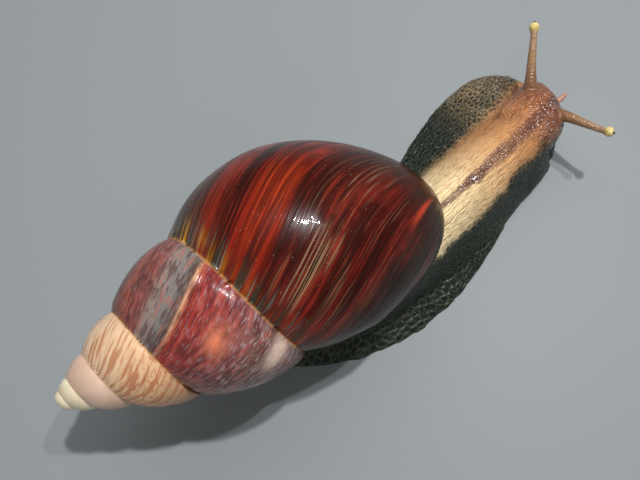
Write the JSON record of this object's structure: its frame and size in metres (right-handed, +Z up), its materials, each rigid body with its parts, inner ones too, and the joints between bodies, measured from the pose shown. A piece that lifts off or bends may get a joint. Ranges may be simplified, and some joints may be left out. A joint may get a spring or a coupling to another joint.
{
  "type": "giant african land snail",
  "caption": "Life-size land snail crawling with a glossy spiral shell, a broad creeping foot and raised eye feelers, a still display model that rests on its flat sole.",
  "frame": {"origin": "on the floor under the middle of the whole animal's outline", "axes": "+X forward along the shell from its apex to its base, +Y to the animal's left, +Z up from the sole"},
  "size_m": [0.1826, 0.0659, 0.0616],
  "materials": {
    "shell": "polished wet shell, crimson brown with dark growth streaks and a cream spire",
    "mantle": "moist soft flesh, tan",
    "foot_skin": "moist pebbled skin, dark green-grey with pale grooves",
    "neck_skin": "moist pebbled skin, pale tan to orange-brown",
    "eye": "glossy near-black"
  },
  "bodies": {
    "root": {"shell": "shell", "mantle_collar": "mantle", "tail": "foot_skin", "foot_rear": "foot_skin", "foot_middle": "foot_skin", "foot_front": "foot_skin", "body_column": "neck_skin", "neck": "neck_skin", "head": "neck_skin", "upper_tentacle_left": "neck_skin", "upper_tentacle_right": "neck_skin", "lower_tentacle_left": "neck_skin", "lower_tentacle_right": "neck_skin", "mouth_lobe_left": "neck_skin", "mouth_lobe_right": "neck_skin", "eye_left": "eye", "eye_right": "eye"}
  },
  "joints": []
}
